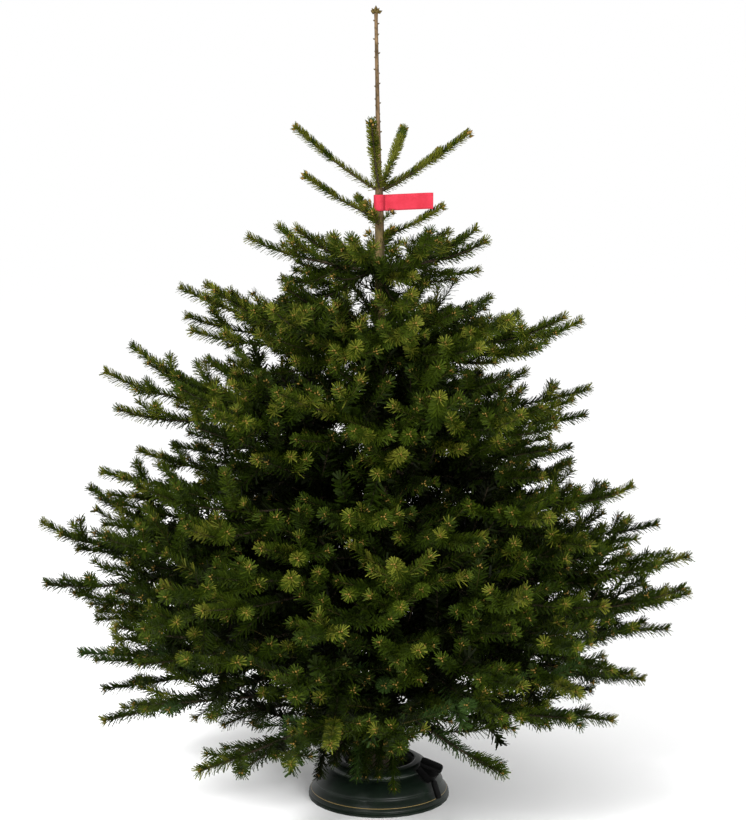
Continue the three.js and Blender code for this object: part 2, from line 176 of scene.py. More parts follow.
# Foliage is kept out of a band before the lever, higher towards the front.
CLEAR_FRONT = 0.1
CLEAR_MIDDLE = 0.135
CLEAR_HALF = 0.085
CLEAR_TOP = 0.15
CLEAR_SLOPE = 0.34

# Needles.
CROWN_COUNT = 385000  # on all the shoots of the crown, two triangles each
TOP_COUNT = 4600  # on the single shoots near the top, three triangles each
LEAST_NEEDLES = 6  # on a shoot
LENGTH_BY_AGE = [0.0245, 0.0262, 0.0295]
TOP_NEEDLE_LENGTH = 0.0205
TIP_SHORTER = 0.12
NEEDLE_WIDTH = 0.0024
SHADED_PART = 0.74  # of the way out, inside which old needles are broad and long
WIDTH_BY_AGE = [0.0027, 0.0035, 0.0068]  # the needles of older shoots fill the shade
PIECE_FACES = 190000  # most triangles in one piece of needles
NEEDLE_ROLL = 0.9  # radians about its own length
BELOW_PART = 0.2  # of the needles hang below their shoot
SPREAD_ABOVE = 1.9  # radians round from its top, for the others
ASIDE = 1.4  # from here round they lean as much as they can
LEAN_ABOVE = 42  # degrees from the shoot
LEAN_ASIDE = 16  # more at its sides
LEAN_TIP = 3  # less at its end
LEAN_VARIES = 3.5
GOLDEN_PART = 0.618034
OLD_THINS = 0.2  # how much sparser for each year
NEW_DENSITY = 1.2
INNER_DENSITY = 0.55
OUTER_DENSITY = 0.75  # more at the outside of the crown
AXIS_DENSITY = 1.6  # a factor on the last two years of a limb
SPRAYS = 9  # stretches of a shoot whose needles share a colour
SPRAY_SHIFT = 0.5  # of them are a shade lighter or darker than their shoot
END_LIGHTER = 0.75  # of the last sprays of a branch are a shade lighter
ROSETTE = 22  # needles round the buds at the end of a branch
ROSETTE_LEANS = (26, 68)
ROSETTE_LENGTHS = (0.5, 0.85)
ROSETTE_WIDTH = 0.75
ROSETTE_LIT = 0.32  # of them are lighter than their shoot
# The outline of a needle, as parts of its length and of half its width.
SHOULDER = 0.24
SHARP_TIP = 0.66
BLUNT_FOOT = 0.8
BLUNT_TIP = 0.7
DROOP = 0.06
UPTURN = 0.04
# A shoot's green: a score that grows outwards, so that shoots deeper in the crown get painted shade,
# falls with age and changes with height.
INWARD_PAINTED_SHADE = 2.5
SCORE_AGE = 0.4
SCORE_VARIES = 0.4
# Painted light and shade by height: greens a little lighter at the foot, darkest about 0.55 m up, and
# lighter and lighter towards the top.
PAINTED_LIGHT_BY_HEIGHT = [(0.2, 0.15), (0.55, 0.0), (1.0, 0.45), (1.4, 1.35)]
SCORE_STEPS = [0.65, 1.25, 1.85, 2.5]  # where one green gives way to the next
GLAUCOUS_TOP = 0.45  # below this some shoots show pale undersides
GLAUCOUS_PART = 0.14

# Wood.
TWIG_SIDES = 3
LIMB_SIDES = 6
LIMB_STEP = 0.04
LIMB_RELIEF = 0.07
TRUNK_SIDES = 32
TRUNK_STEP = 0.006
BARK_RELIEF = 0.035  # of the radius
BARK_COARSE = (2.2, 22)  # relief's rate round the stem and up it
BARK_FINE = (6, 160)
SMOOTH_FROM = 1.5  # above this the relief is only this part as deep
SMOOTH_PART = 0.8
COLLAR_SWELL = 0.07
COLLAR_HEIGHT = 0.018
LEADER_RADIUS = 0.0062  # the stem is no thicker than this under its crown of buds
LEADER_THIN = 0.86
STEM_LOOKS = [1.2, 1.44]  # heights where the bark turns olive, and then tan

# Buds.
BELLY = 0.42  # of its length, where a bud is widest
BUD_LENGTH = 0.0075
BUD_GIRTH = 0.0042
BUD_SINK = 0.002
BUD_RING = 0.0032
BUD_TURN = 0.62  # outwards from the middle bud, in radians
MIDDLE_BUD = 1.15
TOP_BUD = 1.7
SPURS_FROM = 1.56
SPURS_TO = 1.955
SPUR_STEP = 0.009
SPUR_VARIES = 0.4
SPUR_SINK = 0.75  # of the stem's radius
SPUR_RISE = 0.9
SPUR_LENGTHS = (0.005, 0.0075)
CROWN_BUDS = 10
CROWN_BUD_LENGTH = 0.0155
CROWN_BUD_GIRTH = 0.01
CROWN_BUD_RISES = (0.45, 1.5)  # by turns
CROWN_HEIGHT = 1.969
CROWN_SINK = 0.004

# Stand and tag.
DOME_OPENING = 0.09
DOME_WALL = 0.003
DOME_SIDES = 96
LOW_LINE = 0.0205
HIGH_LINE = 0.0785
LINE_RADIUS = 0.0007
LINE_SIDES = 8
CORNER_CUT = 0.2  # of a side, and what is kept of it
KEPT = 0.8
EDGE_WIDTH = 0.0025
EDGE_ANGLE = radians(35)
EDGE_STEPS = 3
WELD_NEAR = 0.00005
TAG_RING = 0.0135
TAG_GAP = 0.09  # radians of the ring open to each side of the flag
TAG_RING_STEPS = 32
TAG_STEPS = 60
TAG_ROWS = 9
TAG_SHORTER = 0.001
TAG_WAVE = -0.0068
TAG_LIFT = 0.0055
TAG_LOW = 0.0012
TAG_CURL = 0.0016
TAG_CURL_TURN = 3
TAG_APART = 0.0004  # each leaf of the flag from the middle between them
TAG_THICK = 0.0004

# ---- materials ----


def linear(red, green, blue):
    """A colour given in ordinary 0 to 255 steps, as a shader takes it."""
    return tuple(
        (c / 12.92 if c <= 0.04045 else ((c + 0.055) / 1.055) ** 2.4)
        for c in (red / 255, green / 255, blue / 255)
    ) + (1.0,)


def plain(name, colour, roughness=0.5, specular=0.4):
    material = bpy.data.materials.new(name)
    material.use_nodes = True
    shader = material.node_tree.nodes["Principled BSDF"]
    shader.inputs["Base Color"].default_value = linear(*colour)
    shader.inputs["Roughness"].default_value = roughness
    shader.inputs["Specular IOR Level"].default_value = specular
    return material


def add_node(tree, kind, **values):
    node = tree.nodes.new("ShaderNode" + kind)
    for name, value in values.items():
        node.inputs[name].default_value = value
    return node


def patterned(name, dark, light, scale, roughness, stretch=(1, 1, 1), bump=0.3, specular=0.3):
    """A material whose colour and relief wander between two colours."""
    material = plain(name, light, roughness, specular)
    tree = material.node_tree
    link = tree.links.new
    shader = tree.nodes["Principled BSDF"]
    place = add_node(tree, "TexCoord")
    mapping = add_node(tree, "Mapping", Scale=stretch)
    link(place.outputs["Object"], mapping.inputs["Vector"])
    cloud = add_node(tree, "TexNoise", Scale=scale, Detail=CLOUD_DETAIL, Roughness=CLOUD_ROUGH)
    link(mapping.outputs["Vector"], cloud.inputs["Vector"])
    ramp = add_node(tree, "ValToRGB")
    for element, stop, colour in zip(ramp.color_ramp.elements, CLOUD_RAMP, (dark, light)):
        element.position = stop
        element.color = linear(*colour)
    link(cloud.outputs["Fac"], ramp.inputs["Fac"])
    link(ramp.outputs["Color"], shader.inputs["Base Color"])
    relief = add_node(tree, "Bump", Strength=bump, Distance=CLOUD_DEPTH)
    link(cloud.outputs["Fac"], relief.inputs["Height"])
    link(relief.outputs["Normal"], shader.inputs["Normal"])
    return material


# The darker greens go to older shoots and to shoots deep in the crown; the darkening further in is
# painted shade.
NEEDLE_COLOURS = {
    "shade": (9, 13, 2),
    "old": (17, 25, 2),
    "dark": (24, 35, 3),
    "mid": (33, 44, 4),
    "fresh": (43, 54, 7),
    "tip": (74, 77, 21),
    "glaucous": (34, 50, 18),
}
NEEDLE_KINDS = list(NEEDLE_COLOURS)
MID, FRESH, TIP, GLAUCOUS = map(NEEDLE_KINDS.index, ("mid", "fresh", "tip", "glaucous"))
needle_materials = [
    plain(f"needle_{kind}", colour, 0.55, 0.04) for kind, colour in NEEDLE_COLOURS.items()
]
twig_young = plain("twig_young", (62, 54, 22), 0.8, 0.2)
twig_old = plain("twig_old", (36, 29, 18), 0.9, 0.2)
spur_material = plain("spur_scales", (70, 58, 28), 0.7, 0.1)
bud_material = plain("bud_scales", (108, 84, 38), 0.6, 0.1)
bark_material = patterned("bark", (26, 19, 13), (58, 44, 31), 60, 0.85, (1, 1, 0.35), 0.5)
stem_bark = patterned("stem_bark", (50, 43, 20), (104, 86, 52), 70, 0.85, (1, 1, 0.3), 0.5)
leader_bark = patterned("leader_bark", (46, 37, 25), (94, 76, 54), 110, 0.9, (1, 1, 0.3), 0.5, 0.1)
limb_bark = patterned("limb_bark", (30, 24, 15), (54, 42, 27), 90, 0.85, (1, 1, 1), 0.5)
enamel = patterned("stand_enamel", (8, 16, 10), (13, 23, 15), 40, 0.4, (1, 1, 1), 0.04, 0.2)
enamel_dark = patterned("bowl_enamel", (10, 14, 12), (18, 24, 20), 60, 0.5, (1, 1, 1), 0.05)
gold = plain("gold_line", (128, 108, 62), 0.4, 0.3)
silver = plain("pale_line", (66, 70, 64), 0.4, 0.3)
black_plastic = patterned("black_plastic", (3, 3, 3), (7, 7, 7), 300, 0.45, (1, 1, 1), 0.08, 0.05)
tag_paper = patterned("tag_paper", (144, 36, 47), (158, 44, 57), 35, 0.8, (1, 1, 1), 0.1, 0.02)

# ---- meshes ----


def placed(name, data):
    thing = bpy.data.objects.new(name, data)
    bpy.context.scene.collection.objects.link(thing)
    return thing


def build(name, points, faces, materials, kinds=None, smooth=False):
    """An object from an array of points and a list of arrays of faces, each array with
    faces of one number of corners. kinds gives each face its material, array by array."""
    mesh = bpy.data.meshes.new(name)
    mesh.vertices.add(len(points))
    mesh.vertices.foreach_set("co", np.asarray(points, dtype=np.float32).ravel())
    corners = np.concatenate([part.ravel() for part in faces]).astype(np.int32)
    counts = np.concatenate([np.full(len(part), part.shape[1]) for part in faces])
    starts = np.concatenate([[0], np.cumsum(counts)[:-1]]).astype(np.int32)
    mesh.loops.add(len(corners))
    mesh.loops.foreach_set("vertex_index", corners)
    mesh.polygons.add(len(counts))
    mesh.polygons.foreach_set("loop_start", starts)
    if kinds is not None:
        mesh.polygons.foreach_set("material_index", np.concatenate(kinds).astype(np.int32))
    mesh.polygons.foreach_set("use_smooth", np.full(len(counts), smooth))
    mesh.update(calc_edges=True)
    for material in materials:
        mesh.materials.append(material)
    piece = placed(name, mesh)
    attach(piece, "root")
    return piece


def unit(vectors):
    return vectors / np.maximum(np.linalg.norm(vectors, axis=-1, keepdims=True), 1e-9)


def sides_of(along):
    """Two directions square to each given one: one level, one as near up as can be."""
    up = np.broadcast_to([0.0, 0.0, 1.0], along.shape)
    level = np.cross(along, up)
    upright = np.linalg.norm(level, axis=-1, keepdims=True) < 1e-3
    level = np.where(upright, [1.0, 0.0, 0.0], level)
    level = unit(level)
    return level, np.cross(level, along)


def bezier(points, t):
    """Points of a curve with three or four control points, at parts t of it."""
    t = np.asarray(t, dtype=float)[:, None]
    row = [np.asarray(point, dtype=float)[None, :] for point in points]
    while len(row) > 1:
        row = [a * (1 - t) + b * t for a, b in zip(row, row[1:])]
    return row[0]


def round_angles(count):
    return np.linspace(0, 2 * pi, count, endpoint=False)


def faces_between(index):
    """Four-cornered faces between each row of corner numbers and the next, rows being rings."""
    after = np.roll(index, -1, axis=1)
    faces = np.stack([index[:-1], after[:-1], after[1:], index[1:]], axis=-1)
    return faces.reshape(-1, 4)


def tube(path, radii, sides, relief=None):
    """Points and four-cornered faces of a tube along a path, with flat ends left open."""
    along = unit(np.gradient(path, axis=0))
    level, up = sides_of(along)
    angles = round_angles(sides)
    ring = np.asarray(radii)[:, None] * (1 if relief is None else relief)
    ring = np.broadcast_to(ring, (len(path), sides))
    points = (
        path[:, None, :]
        + ring[..., None] * np.cos(angles)[None, :, None] * level[:, None, :]
        + ring[..., None] * np.sin(angles)[None, :, None] * up[:, None, :]
    )
    index = np.arange(len(path) * sides).reshape(len(path), sides)
    return points.reshape(-1, 3), faces_between(index)


def joined(parts):
    """Several (points, faces) as one."""
    points, faces, first = [], [], 0
    for own_points, own_faces in parts:
        points.append(own_points)
        faces.append(own_faces + first)
        first += len(own_points)
    return np.concatenate(points), np.concatenate(faces)


# ---- reading the frame ----


def places_of(node):
    """The corners of a CAD node, each once, and its edges as pairs of them."""
    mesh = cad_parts[node].data
    points = np.empty(len(mesh.vertices) * 3)
    mesh.vertices.foreach_get("co", points)
    places, same = np.unique(points.reshape(-1, 3).round(5), axis=0, return_inverse=True)
    edges = np.empty(len(mesh.edges) * 2, dtype=np.int32)
    mesh.edges.foreach_get("vertices", edges)
    return places, same.ravel()[edges.reshape(-1, 2)]


def reach(points):
    return np.hypot(points[..., 0], points[..., 1])


def tips_of(node, apart=0.075):
    """The outermost points of a mass's fingers, furthest first."""
    places, edges = places_of(node)
    out = reach(places)
    best = np.zeros(len(places))
    np.maximum.at(best, edges[:, 0], out[edges[:, 1]])
    np.maximum.at(best, edges[:, 1], out[edges[:, 0]])
    peaks = places[(out >= best) & (out > 0.55 * out.max())]
    peaks = peaks[np.argsort(-reach(peaks))]
    kept = []
    for peak in peaks:
        if all(np.linalg.norm(peak - other) > apart for other in kept):
            kept.append(peak)
    return kept


def trunk_rings():
    """Heights, centres and radii of the CAD trunk."""
    places, _ = places_of("trunk")
    heights = np.unique(places[:, 2].round(4))
    rows = []
    for height in heights:
        ring = places[np.abs(places[:, 2] - height) < 1e-4]
        ring = ring[reach(ring - ring.mean(0)) > 1e-4]
        centre = ring.mean(0)
        rows.append((height, centre[0], centre[1], reach(ring - centre).mean()))
    return np.array(rows)


RINGS = trunk_rings()


def trunk_at(height):
    return np.array([np.interp(height, RINGS[:, 0], RINGS[:, k]) for k in (1, 2)] + [height])


def trunk_radius(height):
    return np.interp(height, RINGS[:, 0], RINGS[:, 3])


# ---- growth ----

shoots = []  # start, bend, end, age, order, mass, terminal, thickness at start and end
limbs = []  # path, radii


def by_height(pairs, height):
    """A value at a height, between pairs of a height and a value."""
    return np.interp(height, *zip(*pairs))


def hides_lever(point):
    before = -point[1] - CLEAR_FRONT
    low = point[2] < CLEAR_TOP + CLEAR_SLOPE * before
    return low and before > 0 and abs(point[0] - CLEAR_MIDDLE) < CLEAR_HALF


def add_shoot(start, end, bend, age, order, mass, terminal):
    thick = SHOOT_RADIUS + SHOOT_GROWTH * age
    shoots.append((*start, *bend, *end, age, order, mass, terminal, thick + SHOOT_TAPER, thick))


def turned(heading, level, up, angle, tilt):
    """A heading turned sideways by an angle and lifted by a tilt."""
    flat = cos(angle) * heading + sin(angle) * level
    return unit(cos(tilt) * flat + sin(tilt) * up)


def side_branch(start, heading, length, age, order, mass, lift):
    """A branch: yearly shoots in a row, each turning up a little, with twigs at its years."""
    if hides_lever(start + length * heading):
        return
    years = min(age, max(1, ceil(length / SIDE_YEAR)))
    here = np.asarray(start)
    for year in range(years):
        left = years - 1 - year
        step = min(length / years, SIDE_YEAR) * rng.uniform(0.9, 1.1)
        wander = rng.normal(0, WANDER, 3)
        ahead = unit(heading + wander + [0, 0, lift])
        end = here + step * ahead
        bend = here + 0.5 * step * heading
        add_shoot(here, end, bend, left, order, mass, left == 0)
        here, heading = end, ahead
        if left and order < LAST_ORDER:
            level, up = sides_of(heading)
            for side in (-1, 1):
                if rng.random() > TWIG_CHANCE:
                    continue
                angle = side * SIDE_ANGLE * rng.uniform(0.8, 1.15)
                way = turned(heading, level, up, angle, rng.uniform(*TWIG_TILTS))
                twig = TWIG_RATIO * step * left * rng.uniform(0.85, 1.15)
                side_branch(here, way, twig, left, order + 1, mass, lift)


def limb(control, mass, thick_start, lift, clothed_from, outer_years=OUTER_YEARS):
    """A limb along a curve, grown back from its tip: a node each year, with side branches."""
    fine = bezier(control, np.linspace(0, 1, 60))
    steps = np.linalg.norm(np.diff(fine, axis=0), axis=1)
    travelled = np.concatenate([[0], np.cumsum(steps)])
    whole = travelled[-1]
    marks = [whole]
    while marks[-1] - YEAR * LAST_YEAR > 0:
        marks.append(marks[-1] - YEAR * rng.uniform(0.85, 1.15))
    marks[-1] = 0.0

    def at(mark):
        return np.array([np.interp(mark, travelled, fine[:, k]) for k in range(3)])

    for age, (far, near) in enumerate(zip(marks, marks[1:])):
        start, end = at(near), at(far)
        bend = 2 * at((near + far) / 2) - (start + end) / 2
        if reach(end) > clothed_from:
            add_shoot(start, end, bend, age, 0, mass, age == 0)
        if near <= BARE_FOOT or reach(start) < clothed_from:
            continue
        heading = unit(end - start)
        level, up = sides_of(heading)
        ratio = by_height(SIDE_RATIO_BY_HEIGHT, start[2])
        length = min(SIDE_MOST, max(SIDE_LEAST, ratio * (whole - near)))
        inside = age + 1 > outer_years
        for side in (-1, 1):
            if inside and rng.random() > INNER_CHANCE:
                continue
            angle = side * SIDE_ANGLE * rng.uniform(0.85, 1.1)
            way = turned(heading, level, up, angle, rng.uniform(*SIDE_TILTS))
            own = length * rng.uniform(0.85, 1.15)
            side_branch(start, way, own, age + 1, 1, mass, lift)
        for tilt in (-FILL_TILT, FILL_TILT) if inside else ():
            if rng.random() > FILL_CHANCE or (tilt > 0 and start[2] > FILL_TOP):
                continue
            way = turned(heading, level, up, rng.uniform(-0.8, 0.8), tilt * rng.uniform(0.7, 1.1))
            end = start + rng.uniform(*FILL_LENGTHS) * way
            if not hides_lever(end):
                add_shoot(start, end, (start + end) / 2, age + 1, 1, mass, False)
        if not inside and rng.random() < ABOVE_CHANCE:
            tilt = rng.choice(ABOVE_TILTS)
            way = turned(heading, level, up, rng.uniform(-0.5, 0.5), tilt)
            own = ABOVE_RATIO * length * rng.uniform(0.8, 1.15)
            side_branch(start, way, own, age + 1, 1, mass, lift)
    count = max(5, int(whole / LIMB_STEP))
    path = bezier(control, np.linspace(0, 1, count))
    limbs.append((path, np.linspace(thick_start, LIMB_TIP, count)))


def bearing_of(point):
    return degrees(atan2(point[1], point[0]))


def between(a, b):
    """The angle between two bearings, in degrees, from -180 to 180."""
    return (a - b + 180) % 360 - 180


def swung(point, turn):
    """A point turned round the upright axis by some degrees."""
    c, s = cos(radians(turn)), sin(radians(turn))
    return np.array([c * point[0] - s * point[1], s * point[0] + c * point[1], point[2]])


def companions(tip, control, mass, thick, lift, clothed_from, rises):
    """Lesser limbs above and below a finger, which fill the crown between two whorls."""
    for rise in rises:
        if rng.random() > COMPANION_CHANCE * abs(rise) / COMPANION_RISE:
            continue
        foot_height = control[0][2]
        share = by_height(SHARE_BY_HEIGHT, foot_height) + rng.uniform(-SHARE_VARIES, SHARE_VARIES)
        end = swung(tip, rng.uniform(-0.5, 0.5) * COMPANION_SPREAD)
        end = np.array([end[0] * share, end[1] * share, 0.0])
        end[2] = foot_height + (tip[2] - foot_height) * share + rise * rng.uniform(0.7, 1.3)
        if hides_lever(end):
            continue
        hub = bezier(control, [rng.uniform(*COMPANION_FEET)])[0]
        sag = by_height(SAG_BY_HEIGHT, end[2]) * reach(end)
        middle = 0.5 * hub + 0.5 * end + [0, 0, COMPANION_ARCH * rise - 0.5 * sag]
        limb([hub, middle, end], mass, COMPANION_THICK * thick, lift, clothed_from, 1)


def grow_fan(mass_name, mass, foot, heading, thick, clothed_from, levels):
    """All limbs of one mass: the bough's own and one to each of the other fingers."""
    lift = by_height(LIFT_BY_HEIGHT, foot[2])
    overshoot = by_height(OVERSHOOT_BY_HEIGHT, foot[2])
    tips = []
    for tip in tips_of(mass_name):
        outward = unit(np.array([tip[0], tip[1], 0.0]))
        tips.append(tip + overshoot * outward + [0, 0, by_height(RAISED_BY_HEIGHT, tip[2])])
    main = min(tips, key=lambda tip: abs(between(bearing_of(tip), bearing_of(heading))))
    span = reach(main)
    out = unit(np.array([main[0], main[1], 0.0]))
    sag = by_height(SAG_BY_HEIGHT, main[2]) * span
    control = [
        foot,
        foot + BOUGH_OUT * span * heading - [0, 0, FIRST_SAG * sag],
        main - BOUGH_IN * span * out - [0, 0, sag],
        main,
    ]
    limb(control, mass, thick, lift, clothed_from)
    gaps = np.array(levels) - np.mean([tip[2] for tip in tips])
    above = gaps[gaps > LEVEL_SLACK]
    below = -gaps[gaps < -LEVEL_SLACK]
    rises = [COMPANION_RISE * (above.min() if len(above) else TOP_GAP)]
    rises += [-COMPANION_RISE * below.min()] if len(below) else LOWEST_RISES
    hub_pull, tip_pull = FINGER_PULLS
    for tip in tips:
        companions(tip, control, mass, thick, lift, clothed_from, rises)
        if tip is main:
            continue
        turn = abs(between(bearing_of(tip), bearing_of(main)))
        hub = bezier(control, [max(HUB_NEAR, HUB_FAR - HUB_TURN * turn)])[0]
        middle = hub * hub_pull + tip * tip_pull - [0, 0, FINGER_SAG * sag]
        limb([hub, middle, tip], mass, FINGER_THICK * thick, lift, clothed_from)


def grow_shoot(mass_name, mass):
    """One of the single shoots near the top, straight from the trunk."""
    places, _ = places_of(mass_name)
    tip = places[np.argmax(reach(places))]
    inner = places[reach(places) < reach(places).min() + END_DEPTH].mean(0)
    foot = trunk_at(inner[2] - SINGLE_SINK)
    course = [foot, foot * 0.5 + tip * 0.5 - [0, 0, SINGLE_SAG], tip]
    far = bezier(course, SINGLE_YEARS)
    bends = bezier(course, SINGLE_BENDS)
    add_shoot(far[0], far[1], bends[0], 1, 0, mass, False)
    add_shoot(far[1], far[2], bends[1], 0, 0, mass, True)
    path = bezier(course, np.linspace(0, 1, SINGLE_STEPS))
    limbs.append((path, np.linspace(*SINGLE_RADII, SINGLE_STEPS)))


def nearest(middles, point):
    """The number of the mass whose middle is nearest to a point."""
    return np.argmin(np.linalg.norm(middles - point, axis=1))


def stem_branches(middles):
    """Short branches straight from the stem, between its whorls."""
    for number, height in enumerate(np.arange(STEM_FROM, STEM_TO, STEM_STEP)):
        turn = number * GOLDEN_TURN
        heading = unit(np.array([cos(turn), sin(turn), STEM_RISE]))
        length = rng.uniform(*STEM_LENGTHS) * by_height(STEM_FACTOR_BY_HEIGHT, height)
        start = trunk_at(height)
        mass = nearest(middles, start + length * heading)
        side_branch(start, heading, length, STEM_AGE, 1, mass, by_height(LIFT_BY_HEIGHT, height))


def sprouts(masses):
    """Short shoots close on the stem, round the tag."""
    mass = masses.index("low_shoot_left")
    for height, bearing in SPROUTS:
        turn = radians(bearing)
        way = unit(np.array([cos(turn), sin(turn), SPROUT_RISE]))
        start = trunk_at(height)
        end = start + rng.uniform(*SPROUT_LENGTHS) * way
        add_shoot(start, end, (start + end) / 2, 0, 1, mass, True)


def tufts(middles):
    """Limbs from one place on the trunk that hang before the collar of the stand."""
    foot = trunk_at(TUFT_FOOT)
    ends = [np.array(TUFT_LONGEST)] + [rng.uniform(TUFTS_FROM, TUFTS_TO) for _ in range(TUFTS)]
    for end in ends:
        middle = np.array([TUFT_MIDDLE[0] * end[0], TUFT_MIDDLE[1] * end[1], TUFT_FOOT])
        mass = nearest(middles, end)
        limb([foot, middle, end], mass, TUFT_THICK, TUFT_LIFT, TUFT_CLOTHED)


def grow_all():
    masses = sorted(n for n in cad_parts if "_mass_" in n or "_shoot_" in n)
    whorls = {}
    for name in masses:
        if "_mass_" in name:
            whorls.setdefault(name.split("_")[0], []).extend(tip[2] for tip in tips_of(name))
    levels = [np.mean(heights) for heights in whorls.values()]
    for number, name in enumerate(masses):
        if "_shoot_" in name:
            grow_shoot(name, number)
            continue
        bough = name.replace("_mass_", "_bough_")
        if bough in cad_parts:
            places, _ = places_of(bough)
            out = reach(places)
            inner = places[out < out.min() + END_DEPTH].mean(0)
            outer = places[out > out.max() - END_DEPTH].mean(0)
            heading = unit(outer - inner)
            foot = trunk_at(inner[2] - BOUGH_SINK)
            thick = BOUGH_THICK * trunk_radius(inner[2])
            grow_fan(name, number, foot, heading, thick, BOUGH_CLOTHED, levels)
        else:
            places, _ = places_of(name)
            centre = places.mean(0)
            foot = trunk_at(np.percentile(places[:, 2], FAN_FOOT))
            heading = unit(centre - foot + [0, 0, FAN_RISE])
            grow_fan(name, number, foot, heading, FAN_THICK, FAN_CLOTHED, levels)
    middles = np.array([places_of(name)[0].mean(0) for name in masses])
    stem_branches(middles)
    sprouts(masses)
    tufts(middles)
    return masses


# ---- needles ----


def shoot_curve(rows, t):
    """Places and directions along shoots, one part t for each row."""
    a, b, c = rows[:, START], rows[:, BEND], rows[:, END]
    t = t[:, None]
    place = (1 - t) ** 2 * a + 2 * t * (1 - t) * b + t**2 * c
    along = unit(2 * (1 - t) * (b - a) + 2 * t * (c - b) + 1e-9)
    return place, along


def blades(place, along, spread, lean, length, width, fine):
    """Needles: five points and a bend in each fine one, four points in each coarse one."""
    level, up = sides_of(along)
    outward = np.cos(spread)[:, None] * up + np.sin(spread)[:, None] * level
    point = np.cos(lean)[:, None] * along + np.sin(lean)[:, None] * outward
    across = unit(np.cross(along, outward))
    roll = rng.uniform(-NEEDLE_ROLL, NEEDLE_ROLL, len(place))[:, None]
    across = np.cos(roll) * across + np.sin(roll) * np.cross(point, across)
    half = 0.5 * width[:, None] * across
    end = place + length[:, None] * point
    if not fine:
        foot_half, end_half = BLUNT_FOOT * half, BLUNT_TIP * half
        corners = [place - foot_half, place + foot_half, end + end_half, end - end_half]
        return np.stack(corners, axis=1)
    end = end - outward * (DROOP * length)[:, None] + up * (UPTURN * length)[:, None]
    shoulder = place + SHOULDER * length[:, None] * point
    end_half = SHARP_TIP * half
    corners = [place, shoulder - half, shoulder + half, end + end_half, end - end_half]
    return np.stack(corners, axis=1)


def clothe(table, count, longs, density, widths, fine):
    """Needles on the shoots of a table. Gives their points, the row of each and how far
    along its shoot it stands."""
    lengths = np.linalg.norm(table[:, END] - table[:, START], axis=1)
    weight = lengths * density
    each = np.maximum(LEAST_NEEDLES, np.round(count * weight / weight.sum())).astype(int)
    owner = np.repeat(np.arange(len(table)), each)
    first = np.concatenate([[0], np.cumsum(each)[:-1]])
    rank = np.arange(len(owner)) - first[owner]
    t = (rank + rng.uniform(0.1, 0.9, len(owner))) / each[owner]
    place, along = shoot_curve(table[owner], t)
    # Needles follow one another round the shoot by the golden part of a turn, and are
    # crowded over its upper side and out to both sides; a few hang below.
    part = (rank * GOLDEN_PART + rng.random(len(table))[owner]) % 1
    spread = (2 * part / (1 - BELOW_PART) - 1) * SPREAD_ABOVE
    under = SPREAD_ABOVE + (part - 1 + BELOW_PART) / BELOW_PART * 2 * (pi - SPREAD_ABOVE)
    spread = np.where(part > 1 - BELOW_PART, under, spread)
    spread = spread + rng.normal(0, 0.1, len(owner))
    aside = np.minimum(np.abs(spread) / ASIDE, 1.0)
    varied = rng.normal(0, LEAN_VARIES, len(owner))
    lean = np.radians(LEAN_ABOVE + LEAN_ASIDE * aside - LEAN_TIP * t + varied)
    length = longs[owner] * rng.uniform(0.88, 1.08, len(owner)) * (1 - TIP_SHORTER * t**3)
    wide = widths[owner] * rng.uniform(0.85, 1.15, len(owner))
    return blades(place, along, spread, lean, length, wide, fine), owner, t


def rosettes(table, longs):
    """The ring of short needles round the buds at the end of each branch."""
    ends = np.flatnonzero(table[:, TERMINAL] > 0)
    owner = np.repeat(ends, ROSETTE)
    turn = np.tile(np.arange(ROSETTE) * 2 * pi / ROSETTE, len(ends))
    spread = turn + rng.uniform(-0.3, 0.3, len(owner))
    t = rng.uniform(0.93, 1.0, len(owner))
    place, along = shoot_curve(table[owner], t)
    lean = np.radians(rng.uniform(*ROSETTE_LEANS, len(owner)))
    length = longs[owner] * rng.uniform(*ROSETTE_LENGTHS, len(owner))
    width = ROSETTE_WIDTH * NEEDLE_WIDTH * rng.uniform(0.85, 1.1, len(owner))
    return blades(place, along, spread, lean, length, width, False), owner


def colour_shoots(table, age, out):
    """The colour of each shoot's spray, by its age, its place in the crown (darker further in, which
    is painted shade) and chance.
    """
    middle = table[:, BEND]
    # Painted light and shade by height, lighter towards the top.
    light = by_height(PAINTED_LIGHT_BY_HEIGHT, middle[:, 2])
    # The score grows outwards: shoots further in are painted darker, as painted shade.
    score = INWARD_PAINTED_SHADE * out - SCORE_AGE * age + light + rng.normal(0, SCORE_VARIES, len(table))
    kind = np.searchsorted(SCORE_STEPS, score)
    drooping = (middle[:, 2] < GLAUCOUS_TOP) & (rng.random(len(table)) < GLAUCOUS_PART)
    return np.where(drooping, GLAUCOUS, kind)


